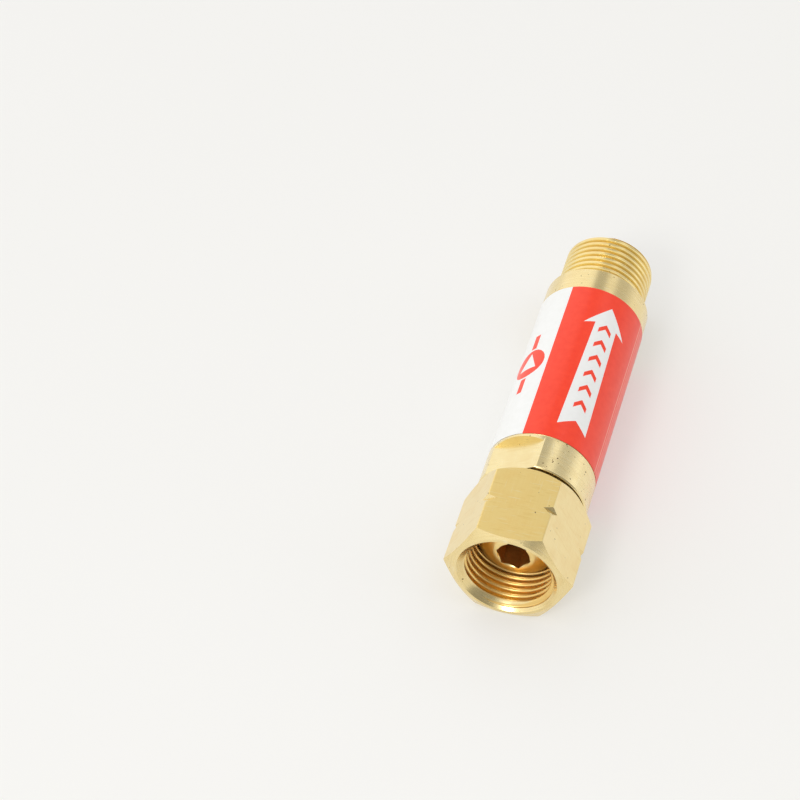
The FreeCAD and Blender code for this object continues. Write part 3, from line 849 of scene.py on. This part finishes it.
def makeFlowLabel(size):
    low, high = arcLength(size["start"]), arcLength(size["end"])
    everywhere = (size["front"] - 1, size["rear"] + 1, low - 1, high + 1)
    deselectAll()
    bpy.ops.mesh.primitive_grid_add(
        x_subdivisions=size["rows"], y_subdivisions=size["columns"], size=1,
        location=((size["front"] + size["rear"]) / 2 * mm, 0, (low + high) / 2 * mm),
        rotation=(math.pi / 2, 0, 0),
    )
    film = bpy.context.object
    film.name = "flowLabel"
    film.scale = ((size["rear"] - size["front"]) * mm, (high - low) * mm, 1)
    applyPlace(film)
    for edge in (size["panelStart"], size["panelEnd"]):
        cutFilm(film, (size["front"], arcLength(edge)), (size["rear"], arcLength(edge)), everywhere)
    arrow = [(x, arcLength(angle)) for x, angle in size["arrow"]]
    # a plain pipeline sign: a disc on a line, with the way of the flow in it
    middle, radius = arcLength(size["discAngle"]), size["discRadius"]
    disc = []
    for k in range(size["discSides"]):
        turn = math.tau * (k + 0.5) / size["discSides"]
        disc.append((size["discX"] + radius * math.cos(turn), middle + radius * math.sin(turn)))
    triangle = [(x, arcLength(angle)) for x, angle in size["triangle"]]
    below, above = middle - arcLength(size["barHalf"]), middle + arcLength(size["barHalf"])
    bars = [[(front, below), (rear, below), (rear, above), (front, above)] for front, rear in size["bars"]]
    centre, half = arcLength(size["chevronCentre"]), arcLength(size["chevronHalf"])
    reach, width = size["chevronReach"], size["chevronWidth"]
    chevrons = []
    for x in size["chevrons"]:
        chevrons.append([
            (x, centre + half), (x + width, centre + half), (x + width + reach, centre),
            (x + width, centre - half), (x, centre - half), (x + reach, centre),
        ])
    for shape in [arrow, disc, triangle] + bars + chevrons:
        xs, zs = [x for x, z in shape], [z for x, z in shape]
        box = (min(xs), max(xs), min(zs), max(zs))
        margin, slack = size["cutMargin"], size["cutSlack"]
        for x in box[:2]:
            cutFilm(film, (x, low), (x, high), (*everywhere[:2], box[2] - margin, box[3] + margin))
        for z in box[2:]:
            cutFilm(film, (box[0], z), (box[1], z), (box[0] - slack, box[1] + slack, *everywhere[2:]))
        for k, end in enumerate(shape):
            cutFilm(film, shape[k - 1], end, box)
    film.data.materials.append(whiteFilm)
    film.data.materials.append(redFilm)
    for face in film.data.polygons:
        x, z = face.center.x / mm, face.center.z / mm
        red = arcLength(size["panelStart"]) < z < arcLength(size["panelEnd"])
        if insidePolygon(x, z, arrow):
            red = any(insidePolygon(x, z, chevron) for chevron in chevrons)
        if insidePolygon(x, z, disc):
            red = not insidePolygon(x, z, triangle)
        red = red or any(insidePolygon(x, z, bar) for bar in bars)
        face.material_index = int(red)
    applyModifier(
        film, "SIMPLE_DEFORM", deform_method="BEND", deform_axis="X",
        angle=math.radians(size["end"] - size["start"]),
    )
    film.location.y = -size["radius"] * mm
    applyPlace(film)
    applyModifier(film, "SOLIDIFY", thickness=size["thickness"] * mm, offset=-1)
    makeActive(film)
    bpy.ops.object.shade_smooth_by_angle(angle=math.radians(size["smoothAngle"]))
    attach(film, "valve")
    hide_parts("flow_label")
    print("made", film.name, len(film.data.polygons), "faces")


makeFlowLabel(flowLabel)


# A matt material with a fine figure of stretched noise, whose cells are in millimetres
def makeMatt(name, cells, detail, light, dark, bumpDepth, roughness, ior):
    material, tree, place = newMaterial(name)
    stretch = addNode(tree, "Mapping", sockets={"Vector": place, "Scale": perMetre(*cells)})
    figure = addNode(tree, "TexNoise", {}, {"Vector": stretch, "Scale": 1.0, "Detail": detail})
    colour = addNode(tree, "Mix", rgba, {"Factor": figure, 6: light, 7: dark}).outputs[2]
    bump = addNode(tree, "Bump", {}, {"Height": figure, "Distance": bumpDepth * mm})
    shader = addNode(
        tree, "BsdfPrincipled", {}, {"Base Color": colour, "Roughness": roughness, "IOR": ior, "Normal": bump}
    )
    addNode(tree, "OutputMaterial", {}, {"Surface": shader})
    return material


# Metal with a grain of its own size and colours: washer, mesh, wire and sintered bronze
def makeGrainedMetal(name, light, dark, grainSize, height, roughness):
    material, tree, place = newMaterial(name)
    grain = addNode(
        tree, "TexVoronoi", {}, {"Vector": place, "Scale": perMetre(grainSize)[0]}
    ).outputs["Distance"]
    colour = addNode(tree, "Mix", rgba, {"Factor": grain, 6: light, 7: dark}).outputs[2]
    bump = addNode(tree, "Bump", {"invert": True}, {"Height": grain, "Distance": height * mm})
    rough = addNode(
        tree, "MapRange", {}, {"Value": grain, "To Min": roughness, "To Max": roughness + 0.2}
    )
    shader = addNode(
        tree, "BsdfPrincipled", {},
        {"Base Color": colour, "Metallic": 1.0, "Roughness": rough, "Normal": bump},
    )
    addNode(tree, "OutputMaterial", {}, {"Surface": shader})
    return material


# Woven stainless gauze: a grid of wires, with the openings between them painted near black as painted shade
def makeGauze(wirePitch):
    material, tree, place = newMaterial("stainlessGauze")
    # at a scale of 1 the wave texture has 20 / tau bands a metre
    scale = math.tau / 20 * perMetre(wirePitch)[0]
    warp, weft = (
        addNode(tree, "TexWave", {"bands_direction": way}, {"Vector": place, "Scale": scale}).outputs["Fac"]
        for way in "YZ"
    )
    wire = addNode(tree, "Math", {"operation": "MAXIMUM"}, {0: warp, 1: weft})
    cover = addNode(
        tree, "MapRange", smooth, {"Value": wire, "From Min": 0.45, "From Max": 0.7}
    )
    # the near black where no wire lies is painted shade for the openings
    colour = addNode(tree, "Mix", rgba, {"Factor": cover, 6: "#1C1B19", 7: "#B9B7B2"}).outputs[2]
    bump = addNode(tree, "Bump", {}, {"Height": wire, "Distance": 0.12 * mm})
    shader = addNode(
        tree, "BsdfPrincipled", {},
        {"Base Color": colour, "Metallic": 1.0, "Roughness": 0.35, "Normal": bump},
    )
    addNode(tree, "OutputMaterial", {}, {"Surface": shader})
    return material


# Moulded nitrile rubber: near black, with a fine bloom
nitrile = makeMatt("nitrileRubber", (0.5556, 0.5556, 0.5556), 4.0, "#1A1A1B", "#2C2C2D", 0.01, 0.62, 1.52)
# Vulcanised fibre: brick red, faintly fibrous
fibre = makeMatt("vulcanisedFibre", (0.4, 2.5, 0.4), 5.0, "#8E3B2A", "#6E2C20", 0.02, 0.7, 1.5)
copper = makeGrainedMetal("annealedCopper", "#D98E6C", "#B76F50", 0.35, 0.004, 0.28)
stainless = makeGrainedMetal("stainlessWire", "#C4C3BF", "#A7A5A0", 0.3, 0.002, 0.24)
sinteredBronze = makeGrainedMetal("sinteredBronze", "#B98A52", "#4E341A", 0.22, 0.09, 0.4)
# The inner pieces keep their CAD shapes
innerFinishes = {
    "cap_o_ring": nitrile, "seat_o_ring": nitrile, "poppet_seal": nitrile,
    "nipple_washer": copper, "inlet_strainer": makeGauze(0.4987),
    "valve_seat": polishedBrass, "poppet": turnedBrass, "stem_guide": turnedBrass, "cage_sleeve": turnedBrass,
    "seal_washer": stainless, "seal_screw": stainless, "stem_clip": stainless,
    "flame_filter": sinteredBronze, "filter_ring": turnedBrass, "filter_gasket": fibre,
}
for node, material in innerFinishes.items():
    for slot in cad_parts[node].material_slots:
        slot.material = material
print("inner pieces finished")


# Floor, light and camera
studio = {
    "restHeight": -9.9, "floorSize": 6000.0, "floorGap": 0.01, "floorCell": 111.1,
    "floorColour": "#F2F1EE", "floorShade": "#EFEEEA", "glowColour": "#F7F6F3", "glowShare": 0.45,
    # brightness of the room by the Y of the direction: two dim strips of wall stand at the back, +X
    "room": [(-1.0, 1.04), (-0.74, 1.02), (-0.67, 0.54), (-0.43, 0.52), (-0.37, 1.0), (-0.21, 0.98),
             (-0.16, 0.52), (0.12, 0.46), (0.16, 1.06), (0.4, 1.08), (1.0, 1.1)],
    "backFrom": 0.15, "backTo": 0.45, "frontStrength": 1.04, "sideFill": 1.14, "sideFrom": -0.9,
    "cornerDirection": (-0.7, -0.62, 0.35), "cornerFrom": 0.74, "cornerTo": 0.86, "cornerShare": 0.3,
    # places and lengths of the lamp and the camera are in metres
    "lampPlace": (-0.648, 0.18, 0.599), "lampAim": (0.035, 0.0, 0.0), "lampSize": 0.26, "lampPower": 1.75,
    "cameraAim": (0.03543, 0.02889, 0.0), "cameraDistance": 0.46497, "clipStart": 0.01,
    "cameraTurn": -73.56, "cameraRise": 46.07, "cameraRoll": -0.01127, "lens": 115.5, "sensorWidth": 36.0,
}


def makeFloor(size):
    deselectAll()
    bpy.ops.mesh.primitive_plane_add(
        size=size["floorSize"] * mm, location=(0, 0, (size["restHeight"] - size["floorGap"]) * mm)
    )
    floor = bpy.context.object
    floor.name = "floor"
    material, tree, place = newMaterial("matPaper")
    scale = perMetre(size["floorCell"])[0]
    cloud = addNode(tree, "TexNoise", {}, {"Vector": place, "Scale": scale, "Detail": 3.0})
    colour = addNode(
        tree, "Mix", rgba, {"Factor": cloud, 6: size["floorColour"], 7: size["floorShade"]}
    ).outputs[2]
    shader = addNode(tree, "BsdfPrincipled", {}, {"Base Color": colour, "Roughness": 0.75, "IOR": 1.4})
    # seen by the camera and in the metal, the paper is part backlit; it throws no more light for that
    paths = addNode(tree, "LightPath").outputs
    seen = paths["Is Camera Ray"]
    for ray in ("Is Glossy Ray", "Is Transmission Ray"):
        seen = addNode(tree, "Math", {"operation": "MAXIMUM"}, {0: seen, 1: paths[ray]})
    share = addNode(tree, "Math", {"operation": "MULTIPLY"}, {0: seen, 1: size["glowShare"]})
    glow = addNode(tree, "Emission", {}, {"Color": size["glowColour"]})
    paper = addNode(tree, "MixShader", {}, {"Fac": share, 1: shader, 2: glow})
    addNode(tree, "OutputMaterial", {}, {"Surface": paper})
    floor.data.materials.append(material)


def makeWorld(size):
    world = bpy.data.worlds.new("studioWorld")
    bpy.context.scene.world = world
    world.use_nodes = True
    tree = world.node_tree
    tree.nodes.clear()
    direction = addNode(tree, "TexCoord").outputs["Generated"]
    axes = addNode(tree, "SeparateXYZ", sockets={0: direction})
    across = addNode(
        tree, "MapRange", {}, {"Value": axes.outputs["Y"], "From Min": -1.0, "From Max": 1.0}
    )
    wall = addNode(tree, "ValToRGB", sockets={"Fac": across})
    stops = wall.color_ramp.elements
    while len(stops) < len(size["room"]):
        stops.new(1.0)
    for stop, (place, level) in zip(stops, size["room"]):
        stop.position = (place + 1) / 2
        stop.color = (level, level, level, 1)
    back = addNode(
        tree, "MapRange", smooth,
        {"Value": axes.outputs["X"], "From Min": size["backFrom"], "From Max": size["backTo"]},
    )
    nearness = addNode(
        tree, "VectorMath", {"operation": "DOT_PRODUCT"}, {0: direction, 1: size["cornerDirection"]}
    ).outputs["Value"]
    front = addNode(
        tree, "MapRange", smooth,
        {"Value": nearness, "From Min": size["cornerFrom"], "From Max": size["cornerTo"],
         "To Min": size["frontStrength"], "To Max": size["cornerShare"]},
    )
    strength = addNode(
        tree, "Mix", {"data_type": "FLOAT"}, {0: back, 2: front, 3: wall.outputs["Color"]}
    )
    # a little more light from the side towards -Y
    fill = addNode(
        tree, "MapRange", {},
        {"Value": axes.outputs["Y"], "From Min": size["sideFrom"], "From Max": 0.0,
         "To Min": size["sideFill"], "To Max": 1.0},
    )
    strength = addNode(tree, "Math", {"operation": "MULTIPLY"}, {0: strength, 1: fill})
    background = addNode(tree, "Background", {}, {"Color": "#FFFFFF", "Strength": strength})
    addNode(tree, "OutputWorld", {}, {"Surface": background})


def makeLamp(size):
    deselectAll()
    bpy.ops.object.light_add(type="AREA", location=size["lampPlace"])
    lamp = bpy.context.object
    lamp.name = "lamp"
    lamp.data.shape = "DISK"
    lamp.data.size = size["lampSize"]
    lamp.data.energy = size["lampPower"]
    beam = Vector(size["lampAim"]) - Vector(size["lampPlace"])
    lamp.rotation_euler = beam.to_track_quat("-Z", "Y").to_euler()


def makeCamera(size):
    turn, lift, roll = math.radians(size["cameraTurn"]), math.radians(size["cameraRise"]), size["cameraRoll"]
    back = Vector((math.sin(turn) * math.cos(lift), -math.cos(turn) * math.cos(lift), math.sin(lift)))
    right = Vector((0, 0, 1)).cross(back).normalized()
    up = back.cross(right)
    deselectAll()
    bpy.ops.object.camera_add(location=Vector(size["cameraAim"]) + back * size["cameraDistance"])
    camera = bpy.context.object
    rolledRight = right * math.cos(roll) + up * math.sin(roll)
    rolledUp = up * math.cos(roll) - right * math.sin(roll)
    camera.rotation_euler = Matrix((rolledRight, rolledUp, back)).transposed().to_euler()
    camera.data.lens = size["lens"]
    camera.data.sensor_width = size["sensorWidth"]
    camera.data.clip_start = size["clipStart"]
    bpy.context.scene.camera = camera


makeFloor(studio)
makeWorld(studio)
makeLamp(studio)
makeCamera(studio)
bpy.context.scene.view_settings.view_transform = "Standard"
print("studio ready")

deselectAll()
